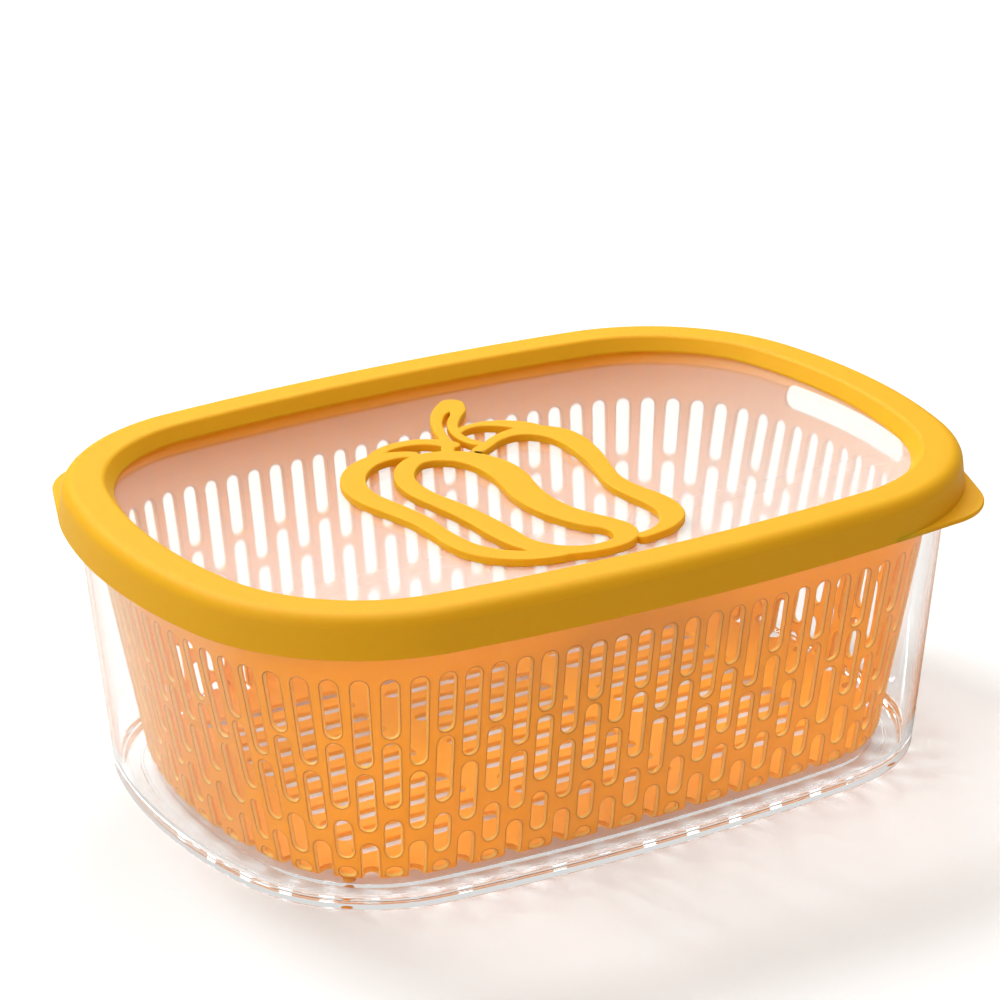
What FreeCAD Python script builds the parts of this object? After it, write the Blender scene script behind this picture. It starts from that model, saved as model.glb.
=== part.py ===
import FreeCAD, Part
import math
import os

import Sketcher
from FreeCAD import Placement, Rotation, Vector

# Produce keeper: a clear tub, a slotted drain basket standing in it, and a lift-off lid.
# Frame: origin on the ground under the middle of the tub, +X along the keeper, +Z up, millimetres.

doc = FreeCAD.newDocument("ProduceKeeper")

# Driving sizes
SIZES = (
    # Foot outline of the tub, eight tangent arcs
    ("foot_half_length", 125.0),
    ("foot_half_width", 86.8),
    ("foot_side_radius", 706.3),
    ("foot_corner_radius", 53.0),
    ("foot_end_radius", 177.9),
    # Lid outline at the lower edge of its skirt, eight tangent arcs
    ("lid_half_length", 140.0),
    ("lid_half_width", 97.6),
    ("lid_side_radius", 733.7),
    ("lid_corner_radius", 67.0),
    ("lid_end_radius", 178.4),
    # Tub
    ("tub_height", 95.5),
    ("tub_wall", 2.0),
    ("tub_rim_inset", 4.6),
    ("tub_floor", 2.2),
    ("tub_bottom_round", 3.0),
    ("tub_inner_round", 1.5),
    ("foot_band", 7.0),
    ("foot_recess", 1.0),
    # Bands of the drafted walls, and bevels that stand for each rounded edge
    ("tub_wall_bands", 3),
    ("basket_wall_bands", 3),
    ("outer_edge_bevels", 2),
    ("inner_edge_bevels", 1),
    ("shoulder_bevels", 3),
    # Basket
    ("basket_rim_inset", 9.0),
    ("basket_base_inset", 10.2),
    ("basket_wall", 1.8),
    ("basket_floor", 1.8),
    ("basket_bottom_round", 3.5),
    ("basket_inner_round", 1.8),
    ("basket_headroom", 0.9),
    ("basket_foot_height", 1.5),
    ("basket_foot_radius", 2.0),
    ("basket_foot_inset", 4.0),
    ("rim_lip_width", 1.2),
    ("rim_lip_height", 2.4),
    # Finger holes in the end walls of the basket
    ("handle_length", 66.0),
    ("handle_height", 8.0),
    ("handle_drop", 7.7),
    # Wall slots, measured up from the underside of the basket
    ("slot_columns_per_quarter", 22),
    ("slot_width", 5.0),
    ("long_slot_top", 69.4),
    ("long_slot_bottom", 40.0),
    ("long_middle_top", 37.3),
    ("long_middle_bottom", 17.9),
    ("long_wrap_top", 13.2),
    ("long_wrap_depth", 6.0),
    ("short_slot_top", 69.4),
    ("short_slot_bottom", 49.8),
    ("short_middle_top", 47.8),
    ("short_middle_bottom", 26.0),
    ("short_low_top", 21.2),
    ("short_low_bottom", 8.4),
    # Floor slots
    ("floor_rows", 11),
    ("floor_row_pitch", 10.0),
    ("floor_slots_per_row", 3),
    ("floor_slot_pitch", 62.0),
    ("floor_slot_length", 50.0),
    # Lid frame
    ("lid_seat_gap", 0.3),
    ("lid_top_wall", 2.4),
    ("skirt_depth", 13.0),
    ("skirt_draft", 1.4),
    ("skirt_wall", 1.8),
    ("shoulder_round", 4.6),
    ("top_face_inset", 14.0),
    ("brow_run", 1.4),
    ("brow_share", 0.3),
    ("bevel_foot_inset", 17.2),
    ("bevel_lip", 0.6),
    ("rebate_inset", 14.6),
    ("seal_wall", 1.8),
    ("seal_wall_drop", 0.4),
    # Pull tabs at two opposite corners of the lid
    ("tab_angle", 54.0),
    ("tab_reach", 5.8),
    ("tab_tip_radius", 11.0),
    ("tab_thickness", 1.6),
    # Window panel and the pepper raised on it
    ("window_drop", 5.0),
    ("window_thickness", 1.8),
    ("window_clearance", 0.2),
    ("pepper_height", 2.6),
    ("pepper_curve_step", 0.3),
)

sheet = doc.addObject("Spreadsheet::Sheet", "Sizes")
for row, (alias, value) in enumerate(SIZES, 1):
    sheet.set(f"A{row}", alias.replace("_", " "))
    sheet.set(f"B{row}", str(value))
    sheet.setAlias(f"B{row}", alias)
doc.recompute()

PLAN_PARTS = ("half_length", "half_width", "side_radius", "corner_radius", "end_radius")

# Levels, each a sum of named sizes; a minus sign takes one away
FOOT_TOP = ("tub_floor", "foot_recess")
BASKET_BASE = FOOT_TOP + ("basket_foot_height",)
BASKET_FLOOR = BASKET_BASE + ("basket_floor",)
LID_TOP = ("tub_height", "lid_seat_gap", "lid_top_wall")
LID_UNDERSIDE = ("tub_height", "lid_seat_gap")
SKIRT_BOTTOM = LID_TOP + ("-skirt_depth",)
WINDOW_TOP = LID_TOP + ("-window_drop",)
WINDOW_UNDERSIDE = WINDOW_TOP + ("-window_thickness",)
SEAL_BOTTOM = WINDOW_UNDERSIDE + ("-seal_wall_drop",)
BASKET_TOP = WINDOW_UNDERSIDE + ("-basket_headroom",)


def size(alias):
    return float(sheet.get(alias))


def total(terms):
    """Value of a sum of named sizes."""
    return sum(-size(term[1:]) if term[0] == "-" else size(term) for term in terms)


def formula(terms):
    """The same sum as an expression on the sheet."""
    signed = ("- Sizes." + term[1:] if term[0] == "-" else "+ Sizes." + term for term in terms)
    return " ".join(signed) or "0"


def negative(terms):
    return tuple(term[1:] if term[0] == "-" else "-" + term for term in terms)


# Plan outlines


def outline(plan, insets=()):
    """The five sizes of a plan outline moved in by the sum of insets, each as value and expression."""
    parts = {}
    for part in PLAN_PARTS:
        terms = (f"{plan}_{part}",) + negative(insets)
        parts[part] = (total(terms), formula(terms))
    return parts


def between(lower, upper, step, steps):
    """The outline a number of steps up from the lower outline to the upper one."""
    parts = {}
    share = f"{step} / {steps}"
    for part in PLAN_PARTS:
        low, high = lower[part], upper[part]
        value = low[0] + (high[0] - low[0]) * step / steps
        parts[part] = (value, f"({low[1]}) * (1 - {share}) + ({high[1]}) * {share}")
    return parts


def plan_arcs(parts):
    """Centre, radius and angles of the eight arcs of an outline, counter-clockwise from the +X end."""
    half_length, half_width, side, corner, end = (parts[part][0] for part in PLAN_PARTS)
    side_centre = Vector(0, half_width - side, 0)
    end_centre = Vector(half_length - end, 0, 0)
    along = end_centre - side_centre
    span = along.Length
    from_side = side - corner
    from_end = end - corner
    reach = (span**2 + from_side**2 - from_end**2) / (2 * span)
    along.normalize()
    across = Vector(along.y, -along.x, 0)
    corner_centre = side_centre + along * reach + across * math.sqrt(from_side**2 - reach**2)
    to_side = corner_centre - side_centre
    to_end = corner_centre - end_centre
    high = math.atan2(to_side.y, to_side.x)
    low = math.atan2(to_end.y, to_end.x)
    half_turn = math.pi
    x, y = corner_centre.x, corner_centre.y
    return (
        (end_centre, end, -low, low),
        (corner_centre, corner, low, high),
        (side_centre, side, high, half_turn - high),
        (Vector(-x, y, 0), corner, half_turn - high, half_turn - low),
        (-end_centre, end, half_turn - low, half_turn + low),
        (Vector(-x, -y, 0), corner, half_turn + low, half_turn + high),
        (-side_centre, side, half_turn + high, 2 * half_turn - high),
        (Vector(x, -y, 0), corner, 2 * half_turn - high, 2 * half_turn - low),
    )


def plane_of(body, role):
    return next(feature for feature in body.Origin.OriginFeatures if feature.Role == role)


def new_body(name):
    body = doc.addObject("PartDesign::Body", name)
    body.Label = name
    return body


def new_sketch(body, name, role="XY_Plane", level=""):
    """A sketch on one of the body's own origin planes, lifted to a level given as an expression."""
    sketch = body.newObject("Sketcher::SketchObject", name)
    sketch.AttachmentSupport = (plane_of(body, role), [""])
    sketch.MapMode = "FlatFace"
    if level:
        sketch.setExpression("AttachmentOffset.Base.z", level)
    return sketch


def bind(sketch, constraint, name, expression):
    """Adds a dimension and ties it to the sheet."""
    index = sketch.addConstraint(constraint)
    sketch.renameConstraint(index, name)
    sketch.setExpression("Constraints." + name, expression)


def plan_sketch(body, name, parts, level):
    """Closed outline of eight tangent arcs at a level."""
    sketch = new_sketch(body, name, level=level)
    for centre, radius, start, end in plan_arcs(parts):
        circle = Part.Circle(centre, Vector(0, 0, 1), radius)
        sketch.addGeometry(Part.ArcOfCircle(circle, start, end), False)
    for arc in range(8):
        sketch.addConstraint(Sketcher.Constraint("Tangent", arc, 2, (arc + 1) % 8, 1))
    for end_arc in (0, 4):
        sketch.addConstraint(Sketcher.Constraint("PointOnObject", end_arc, 3, -1))
    for side_arc in (2, 6):
        sketch.addConstraint(Sketcher.Constraint("PointOnObject", side_arc, 3, -2))
    kinds = ("end_radius", "corner_radius", "side_radius", "corner_radius")
    for arc in range(8):
        value, expression = parts[kinds[arc % 4]]
        bind(sketch, Sketcher.Constraint("Radius", arc, value), f"radius{arc}", expression)
    end_reach = parts["end_radius"][0] - parts["half_length"][0]
    side_reach = parts["side_radius"][0] - parts["half_width"][0]
    end_text = f"{parts['end_radius'][1]} - ({parts['half_length'][1]})"
    side_text = f"{parts['side_radius'][1]} - ({parts['half_width'][1]})"
    bind(sketch, Sketcher.Constraint("DistanceX", 0, 3, -1, 1, end_reach), "right", end_text)
    bind(sketch, Sketcher.Constraint("DistanceX", -1, 1, 4, 3, end_reach), "left", end_text)
    bind(sketch, Sketcher.Constraint("DistanceY", 2, 3, -1, 1, side_reach), "back", side_text)
    bind(sketch, Sketcher.Constraint("DistanceY", -1, 1, 6, 3, side_reach), "front", side_text)
    return sketch


# Features shared by the bodies


def add_wall(body, kind, name, plans, floor, top, bands):
    """Straight-sided loft from one outline to another, with plans between them that keep its faces even."""
    lower, upper = plans
    sketches = []
    for step in range(bands + 1):
        share = f"{step} / {bands}"
        level = f"({floor}) * (1 - {share}) + ({top}) * {share}"
        parts = between(lower, upper, step, bands)
        sketches.append(plan_sketch(body, f"{name}_plan{step}", parts, level))
    loft = body.newObject(f"PartDesign::{kind}Loft", name)
    loft.Profile = sketches[0]
    loft.Sections = [(sketch, [""]) for sketch in sketches[1:]]
    loft.Ruled = True
    doc.recompute()
    return loft


def add_pad(body, name, sketch, length, downwards=False):
    pad = body.newObject("PartDesign::Pad", name)
    pad.Profile = sketch
    pad.Reversed = downwards
    pad.setExpression("Length", formula(length))
    doc.recompute()
    return pad


def add_pocket(body, name, sketch, length, upwards=False):
    pocket = body.newObject("PartDesign::Pocket", name)
    pocket.Profile = sketch
    pocket.Reversed = upwards
    pocket.setExpression("Length", formula(length))
    doc.recompute()
    return pocket


def sized(terms):
    """A sum of named sizes as value and expression."""
    return total(terms), formula(terms)


def quarter_round(across, level, round_name, bevels, upwards):
    """Corners of a quarter round made of bevels, from its upright face to the flat one at a level."""
    radius = size(round_name)
    side, sign = ("+", 1) if upwards else ("-", -1)
    corners = []
    for step in range(bevels + 1):
        turn = math.pi / 2 * step / bevels
        turn_text = f"90 deg * {step} / {bevels}"
        x = total(across) - radius * (1 - math.cos(turn))
        z = total(level) + sign * radius * (1 - math.sin(turn))
        x_text = f"{formula(across)} - Sizes.{round_name} * (1 - cos({turn_text}))"
        z_text = f"{formula(level)} {side} Sizes.{round_name} * (1 - sin({turn_text}))"
        corners.append(((x, x_text), (z, z_text)))
    return corners


def section_sketch(body, name, corners):
    """Closed section at the +X end with every corner tied to the sheet."""
    sketch = new_sketch(body, name, "XZ_Plane")
    points = [Vector(across[0], level[0], 0) for across, level in corners]
    for begin, finish in zip(points, points[1:] + points[:1]):
        sketch.addGeometry(Part.LineSegment(begin, finish), False)
    count = len(corners)
    for line in range(count):
        sketch.addConstraint(Sketcher.Constraint("Coincident", line, 2, (line + 1) % count, 1))
    for index, (across, level) in enumerate(corners):
        sideways = Sketcher.Constraint("DistanceX", -1, 1, index, 1, across[0])
        upwards = Sketcher.Constraint("DistanceY", -1, 1, index, 1, level[0])
        bind(sketch, sideways, f"across{index}", across[1])
        bind(sketch, upwards, f"level{index}", level[1])
    return sketch


def edge_profile(body, name, insets, edge, floor):
    """Section at the +X end of the eased edge between a floor and a wall."""
    round_name, bevels = edge
    across = ("foot_half_length",) + negative(insets)
    inside = sized(across + ("-" + round_name, "-" + round_name))
    corners = quarter_round(across, floor, round_name, int(size(bevels)), True)
    corners += [(inside, sized(floor)), (inside, sized(floor + (round_name,)))]
    return section_sketch(body, name, corners)


def add_pipe(body, kind, name, profile, path):
    pipe = body.newObject(f"PartDesign::{kind}Pipe", name)
    pipe.Profile = profile
    pipe.Spine = path
    pipe.Mode = "Frenet"
    doc.recompute()
    return pipe


def tray(body, kind, name, insets, edge, floor, top, bands):
    """Drafted tray form with an eased bottom edge, added to the body or taken out of it."""
    foot_insets, rim_insets = insets
    round_name = edge[0]
    spring = formula(floor + (round_name,))
    foot = outline("foot", foot_insets)
    plans = (foot, outline("lid", rim_insets))
    add_wall(body, kind, name + "_wall", plans, spring, formula(top), int(size(bands)))
    slab = plan_sketch(body, name + "_slab_plan", outline("foot", foot_insets + (round_name,)), spring)
    if kind == "Additive":
        add_pad(body, name + "_slab", slab, (round_name,), downwards=True)
    else:
        add_pocket(body, name + "_slab", slab, (round_name,))
    profile = edge_profile(body, name + "_edge_profile", foot_insets, edge, floor)
    path = plan_sketch(body, name + "_edge_path", foot, spring)
    add_pipe(body, kind, name + "_edge", profile, path)


# Tub


def make_tub():
    body = new_body("tub")
    rim = ("tub_rim_inset",)
    wall = ("tub_wall",)
    outer_edge = ("tub_bottom_round", "outer_edge_bevels")
    inner_edge = ("tub_inner_round", "inner_edge_bevels")
    top = ("tub_height",)
    bands = "tub_wall_bands"
    tray(body, "Additive", "tub_outside", ((), rim), outer_edge, (), top, bands)
    tray(body, "Subtractive", "tub_inside", (wall, rim + wall), inner_edge, ("tub_floor",), top, bands)
    recess = plan_sketch(body, "tub_recess_plan", outline("foot", ("foot_band",)), "")
    add_pocket(body, "tub_recess", recess, ("foot_recess",), upwards=True)
    step_outline = outline("foot", ("foot_band", "foot_recess"))
    step = plan_sketch(body, "tub_step_plan", step_outline, formula(("tub_floor",)))
    add_pad(body, "tub_step", step, ("foot_recess",))
    return body


# Basket


def foot_places():
    """Middles of the four nubs that the basket stands on, on the corner arcs of its base."""
    arcs = plan_arcs(outline("foot", ("basket_base_inset", "basket_foot_inset")))
    places = []
    for centre, radius, start, end in (arcs[1], arcs[3], arcs[5], arcs[7]):
        middle = (start + end) / 2
        places.append(centre + Vector(math.cos(middle), math.sin(middle), 0) * radius)
    return places


def add_feet(body):
    sketch = new_sketch(body, "basket_feet_plan", level=formula(BASKET_BASE))
    radius = size("basket_foot_radius")
    for index, place in enumerate(foot_places()):
        sketch.addGeometry(Part.Circle(place, Vector(0, 0, 1), radius), False)
        bind(sketch, Sketcher.Constraint("Radius", index, radius), f"foot{index}", "Sizes.basket_foot_radius")
    add_pad(body, "basket_feet", sketch, ("basket_foot_height",), downwards=True)


def add_finger_holes(body):
    """One long rounded hole through both end walls."""
    sketch = new_sketch(body, "finger_hole_plan", "YZ_Plane")
    radius = size("handle_height") / 2
    straight = size("handle_length") / 2 - radius
    level = total(BASKET_TOP) - size("handle_drop")
    low = level - radius
    high = level + radius
    right = Part.Circle(Vector(straight, level, 0), Vector(0, 0, 1), radius)
    left = Part.Circle(Vector(-straight, level, 0), Vector(0, 0, 1), radius)
    quarter = math.pi / 2
    sketch.addGeometry(Part.LineSegment(Vector(-straight, low, 0), Vector(straight, low, 0)), False)
    sketch.addGeometry(Part.ArcOfCircle(right, -quarter, quarter), False)
    sketch.addGeometry(Part.LineSegment(Vector(straight, high, 0), Vector(-straight, high, 0)), False)
    sketch.addGeometry(Part.ArcOfCircle(left, quarter, 3 * quarter), False)
    for piece in range(4):
        sketch.addConstraint(Sketcher.Constraint("Tangent", piece, 2, (piece + 1) % 4, 1))
    sketch.addConstraint(Sketcher.Constraint("Horizontal", 0))
    sketch.addConstraint(Sketcher.Constraint("Symmetric", 1, 3, 3, 3, -2))
    height = sketch.addConstraint(Sketcher.Constraint("Radius", 1, radius))
    sketch.setExpression(f"Constraints[{height}]", "Sizes.handle_height / 2")
    length = sketch.addConstraint(Sketcher.Constraint("DistanceX", 0, 1, 0, 2, 2 * straight))
    sketch.setExpression(f"Constraints[{length}]", "Sizes.handle_length - Sizes.handle_height")
    middle = formula(BASKET_TOP + ("-handle_drop",))
    bind(sketch, Sketcher.Constraint("DistanceY", -1, 1, 1, 3, level), "hole_level", middle)
    pocket = body.newObject("PartDesign::Pocket", "finger_holes")
    pocket.Profile = sketch
    pocket.Midplane = True
    pocket.setExpression("Length", "2 * Sizes.lid_half_length")
    doc.recompute()


def make_basket_shell():
    body = new_body("basket_shell")
    base = ("basket_base_inset",)
    rim = ("basket_rim_inset",)
    wall = ("basket_wall",)
    outer_edge = ("basket_bottom_round", "outer_edge_bevels")
    inner_edge = ("basket_inner_round", "inner_edge_bevels")
    bands = "basket_wall_bands"
    tray(body, "Additive", "basket_outside", (base, rim), outer_edge, BASKET_BASE, BASKET_TOP, bands)
    lip = plan_sketch(body, "basket_lip_plan", outline("lid", rim + ("-rim_lip_width",)), formula(BASKET_TOP))
    add_pad(body, "basket_lip", lip, ("rim_lip_height",), downwards=True)
    inside = (base + wall, rim + wall)
    tray(body, "Subtractive", "basket_inside", inside, inner_edge, BASKET_FLOOR, BASKET_TOP, bands)
    add_feet(body)
    add_finger_holes(body)
    return body


# Slots of the basket


def slot_columns():
    """Foot point, head point and outward direction of every slot column, evenly spaced round the wall."""
    base = plan_arcs(outline("foot", ("basket_base_inset",)))
    rim = plan_arcs(outline("lid", ("basket_rim_inset",)))
    lengths = [(arc_length(low) + arc_length(high)) / 2 for low, high in zip(base, rim)]
    count = 4 * int(size("slot_columns_per_quarter"))
    pitch = sum(lengths) / count
    columns = []
    for column in range(count):
        along = lengths[0] / 2 + column * pitch
        arc = 0
        while along > lengths[arc % 8]:
            along -= lengths[arc % 8]
            arc += 1
        share = along / lengths[arc % 8]
        foot, _ = on_arc(base[arc % 8], share, total(BASKET_BASE))
        head, outward = on_arc(rim[arc % 8], share, total(BASKET_TOP))
        columns.append((foot, head, outward))
    return columns


def arc_length(arc):
    _, radius, start, end = arc
    return radius * (end - start)


def on_arc(arc, share, level):
    """Point at a share of an arc, and the direction straight out of it."""
    centre, radius, start, end = arc
    angle = start + (end - start) * share
    outward = Vector(math.cos(angle), math.sin(angle), 0)
    return centre + outward * radius + Vector(0, 0, level), outward


def slot_prism(first, last, across, normal, outwards, inwards):
    """Prism of a slot from first to last, driven through the wall along normal."""
    side = across * (size("slot_width") / 2)
    corners = (first + side, last + side, last - side, first - side)
    points = [point + normal * outwards for point in corners]
    return Part.Face(Part.makePolygon(points + points[:1])).extrude(normal * -(outwards + inwards))


def wall_slot(column, bottom, top, depth):
    """One slot of a column between two heights above the underside of the basket."""
    foot, head, outward = column
    across = Vector(-outward.y, outward.x, 0)
    rise = head - foot
    normal = across.cross(rise).normalize()
    first = foot + rise * (bottom / rise.z)
    last = foot + rise * (top / rise.z)
    return slot_prism(first, last, across, normal, size("rim_lip_width"), depth)


def wall_slots():
    through = 2 * size("basket_wall")
    long_column = ("long_slot", "long_middle")
    short_column = ("short_slot", "short_middle", "short_low")
    prisms = []
    for number, column in enumerate(slot_columns()):
        for name in short_column if number % 2 else long_column:
            prisms.append(wall_slot(column, size(name + "_bottom"), size(name + "_top"), through))
        if number % 2 == 0:
            below = -size("slot_width")
            prisms.append(wall_slot(column, below, size("long_wrap_top"), size("long_wrap_depth")))
    return prisms


def floor_slots():
    """Rows of slots along X in the floor of the basket, kept clear of its rounded edge."""
    rows = int(size("floor_rows"))
    count = int(size("floor_slots_per_row"))
    half = size("floor_slot_length") / 2
    level = total(BASKET_BASE)
    across = Vector(0, 1, 0)
    down = Vector(0, 0, -1)
    above = size("basket_floor") / 2
    below = 2 * size("basket_floor")
    prisms = []
    for row in range(rows):
        y = (row - (rows - 1) / 2) * size("floor_row_pitch")
        for number in range(count):
            x = (number - (count - 1) / 2) * size("floor_slot_pitch")
            first = Vector(x - half, y, level)
            last = Vector(x + half, y, level)
            prisms.append(slot_prism(first, last, across, down, above, below))
    return prisms


def make_basket():
    """The basket shell with every slot cut through it."""
    shell = make_basket_shell()
    slots = doc.addObject("Part::Feature", "basket_slots")
    slots.Shape = Part.makeCompound(wall_slots() + floor_slots())
    basket = doc.addObject("Part::Cut", "basket")
    basket.Label = "basket"
    basket.Base = shell
    basket.Tool = slots
    doc.recompute()
    return basket


# Lid frame


def frame_profile(body):
    """Section of the lid frame at the +X end: skirt, shoulder, top face, bevel, ledge and seal wall."""
    across = ("lid_half_length",)

    def corner(inset, level):
        return sized(across + negative(inset)), sized(level)

    shoulder = (across + ("-skirt_draft",), LID_TOP, "shoulder_round", int(size("shoulder_bevels")), False)
    slope = size("bevel_foot_inset") - size("top_face_inset")
    fall = size("window_drop") - size("bevel_lip")
    share = size("brow_share")
    brow_foot = (
        total(across) - size("top_face_inset") - slope * share,
        f"{formula(across)} - Sizes.top_face_inset"
        " - (Sizes.bevel_foot_inset - Sizes.top_face_inset) * Sizes.brow_share",
    )
    brow_level = (
        total(LID_TOP) - fall * share,
        f"{formula(LID_TOP)} - (Sizes.window_drop - Sizes.bevel_lip) * Sizes.brow_share",
    )
    outer_seal = ("rebate_inset", "-seal_wall")
    corners = [corner((), SKIRT_BOTTOM)] + quarter_round(*shoulder)
    corners += [
        corner(("top_face_inset", "-brow_run"), LID_TOP),
        (brow_foot, brow_level),
        corner(("bevel_foot_inset",), WINDOW_TOP + ("bevel_lip",)),
        corner(("bevel_foot_inset",), WINDOW_TOP),
        corner(("rebate_inset",), WINDOW_TOP),
        corner(("rebate_inset",), SEAL_BOTTOM),
        corner(outer_seal, SEAL_BOTTOM),
        corner(outer_seal, LID_UNDERSIDE),
        corner(("skirt_wall", "skirt_draft"), LID_UNDERSIDE),
        corner(("skirt_wall",), SKIRT_BOTTOM),
    ]
    return section_sketch(body, "frame_profile", corners)


def tab_sketch(body):
    """Plan of the pull tab on the front right corner, rooted inside the skirt wall."""
    sketch = new_sketch(body, "tab_plan", level=formula(SKIRT_BOTTOM))
    centre, corner = plan_arcs(outline("lid"))[7][:2]
    tip_radius = size("tab_tip_radius")
    root_radius = corner - size("skirt_wall") / 2
    reach = corner + size("tab_reach") - tip_radius
    middle = -math.radians(size("tab_angle"))
    spread = math.acos((corner - tip_radius) / reach)

    def around(start, radius, angle):
        return start + Vector(math.cos(angle), math.sin(angle), 0) * radius

    tip = around(centre, reach, middle)
    low, high = middle - spread, middle + spread
    axis = Vector(0, 0, 1)
    sketch.addGeometry(Part.ArcOfCircle(Part.Circle(tip, axis, tip_radius), low, high), False)
    corners = (
        around(tip, tip_radius, high),
        around(centre, corner, high),
        around(centre, root_radius, high),
    )
    for begin, finish in zip(corners, corners[1:]):
        sketch.addGeometry(Part.LineSegment(begin, finish), False)
    sketch.addGeometry(Part.ArcOfCircle(Part.Circle(centre, axis, root_radius), low, high), False)
    corners = (
        around(centre, root_radius, low),
        around(centre, corner, low),
        around(tip, tip_radius, low),
    )
    for begin, finish in zip(corners, corners[1:]):
        sketch.addGeometry(Part.LineSegment(begin, finish), False)
    sketch.addConstraint(Sketcher.Constraint("Tangent", 0, 2, 1, 1))
    sketch.addConstraint(Sketcher.Constraint("Coincident", 1, 2, 2, 1))
    sketch.addConstraint(Sketcher.Constraint("Coincident", 2, 2, 3, 2))
    sketch.addConstraint(Sketcher.Constraint("Coincident", 3, 1, 4, 1))
    sketch.addConstraint(Sketcher.Constraint("Coincident", 4, 2, 5, 1))
    sketch.addConstraint(Sketcher.Constraint("Tangent", 5, 2, 0, 1))
    bind(sketch, Sketcher.Constraint("Radius", 0, tip_radius), "tip_radius", "Sizes.tab_tip_radius")
    return sketch


def make_lid_frame():
    body = new_body("lid_frame")
    path = plan_sketch(body, "frame_path", outline("lid"), formula(SKIRT_BOTTOM))
    add_pipe(body, "Additive", "frame_ring", frame_profile(body), path)
    tab = add_pad(body, "pull_tab", tab_sketch(body), ("tab_thickness",))
    tabs = body.newObject("PartDesign::PolarPattern", "pull_tabs")
    tabs.Originals = [tab]
    tabs.Axis = (plane_of(body, "Z_Axis"), [""])
    tabs.Angle = 360
    tabs.Occurrences = 2
    body.Tip = tabs
    doc.recompute()
    return body


# Lid window and the pepper on it


def make_lid_window():
    body = new_body("lid_window")
    parts = outline("lid", ("rebate_inset", "window_clearance"))
    plan = plan_sketch(body, "window_plan", parts, formula(WINDOW_UNDERSIDE))
    add_pad(body, "window_panel", plan, ("window_thickness",))
    return body


# Strokes of the pepper seen from above: middle line and half width at each point, stem towards +Y
CENTRE_LOBE = (
    (-20.0, 18.5, 4.0), (-10.5, 12.5, 5.0), (-6.5, 0.0, 5.8), (-8.5, -15.0, 5.7), (-10.5, -29.0, 5.6),
    (-8.7, -42.0, 5.2), (-3.5, -54.0, 5.0), (-0.8, -63.0, 4.6), (-6.0, -69.0, 3.4), (-15.0, -70.0, 2.9),
    (-26.0, -65.5, 3.8), (-31.5, -56.0, 4.2), (-33.0, -40.0, 4.2), (-35.0, -22.0, 4.2), (-37.8, -6.0, 3.9),
    (-35.5, 8.0, 3.6), (-29.5, 15.5, 3.6),
)
RIGHT_LOBE = (
    (-4.0, 16.0, 2.6), (4.0, 20.5, 2.4), (13.0, 23.5, 3.2), (21.5, 20.5, 4.6), (25.8, 11.0, 5.0),
    (25.3, 2.0, 4.5), (22.8, -11.0, 3.6), (19.5, -22.0, 3.4), (18.2, -32.0, 4.0), (19.8, -43.0, 4.6),
    (20.3, -54.0, 4.6), (17.0, -61.5, 4.0), (10.5, -66.5, 2.8), (2.0, -68.8, 2.4),
)
LEFT_LOBE = (
    (-24.0, 23.5, 2.6), (-36.0, 25.3, 3.8), (-46.0, 19.5, 4.3), (-52.0, 10.0, 4.3), (-53.6, -1.0, 4.3),
    (-51.5, -12.0, 4.2), (-49.0, -24.0, 3.8), (-48.5, -38.0, 3.6), (-47.5, -50.0, 3.8), (-43.0, -59.0, 4.0),
    (-35.0, -65.0, 3.6), (-26.0, -67.8, 3.0),
)
LEFT_SEPAL = (
    (-36.0, 27.5, 2.0), (-28.0, 31.8, 2.4), (-20.0, 32.2, 2.6), (-13.0, 29.0, 2.8), (-9.0, 24.0, 3.0),
)
RIGHT_SEPAL = ((-2.5, 32.0, 1.8), (3.0, 35.0, 1.9), (10.0, 34.6, 2.3), (16.5, 30.5, 3.2), (21.0, 23.5, 3.6))
STEM_LEFT = ((-12.0, 21.5, 2.6), (-7.6, 32.0, 2.0), (-3.6, 43.0, 2.2), (2.0, 50.8, 2.8), (9.2, 55.6, 4.6))
STEM_RIGHT = (
    (9.4, 54.6, 3.8), (6.8, 47.6, 2.8), (1.4, 41.2, 2.2), (-2.4, 33.0, 2.0), (-3.0, 27.0, 2.0),
    (-1.4, 21.4, 2.2),
)


def stroke_sides(points, closed):
    """Points on both sides of a stroke, square to its middle line."""
    line = Part.BSplineCurve()
    line.interpolate([Vector(x, y, 0) for x, y, _ in points], PeriodicFlag=closed)
    left, right, ends = [], [], []
    for x, y, half in points:
        middle = Vector(x, y, 0)
        along = line.tangent(line.parameter(middle))[0]
        across = Vector(-along.y, along.x, 0)
        left.append(middle + across * half)
        right.append(middle - across * half)
        ends.append((middle, along * half))
    return left, right, ends


def arcs_along(curve):
    """Edges of the run of arcs that follows a curve."""
    return [arc.toShape() for arc in curve.toBiArcs(size("pepper_curve_step"))]


def closed_stroke(points):
    """Face between the two sides of a stroke that closes on itself."""
    wires = []
    for side in stroke_sides(points, True)[:2]:
        curve = Part.BSplineCurve()
        curve.interpolate(side, PeriodicFlag=True)
        wires.append(Part.Wire(arcs_along(curve)))
    return Part.makeFace(wires, "Part::FaceMakerBullseye")


def open_stroke(points):
    """Face of a stroke with round ends."""
    left, right, ends = stroke_sides(points, False)
    first, last = ends[0], ends[-1]
    there = Part.BSplineCurve()
    there.interpolate(left)
    back = Part.BSplineCurve()
    back.interpolate(right[::-1])
    far_cap = Part.Arc(left[-1], last[0] + last[1], right[-1])
    near_cap = Part.Arc(right[0], first[0] - first[1], left[0])
    edges = arcs_along(there) + [far_cap.toShape()] + arcs_along(back) + [near_cap.toShape()]
    return Part.Face(Part.Wire(edges))


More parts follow.
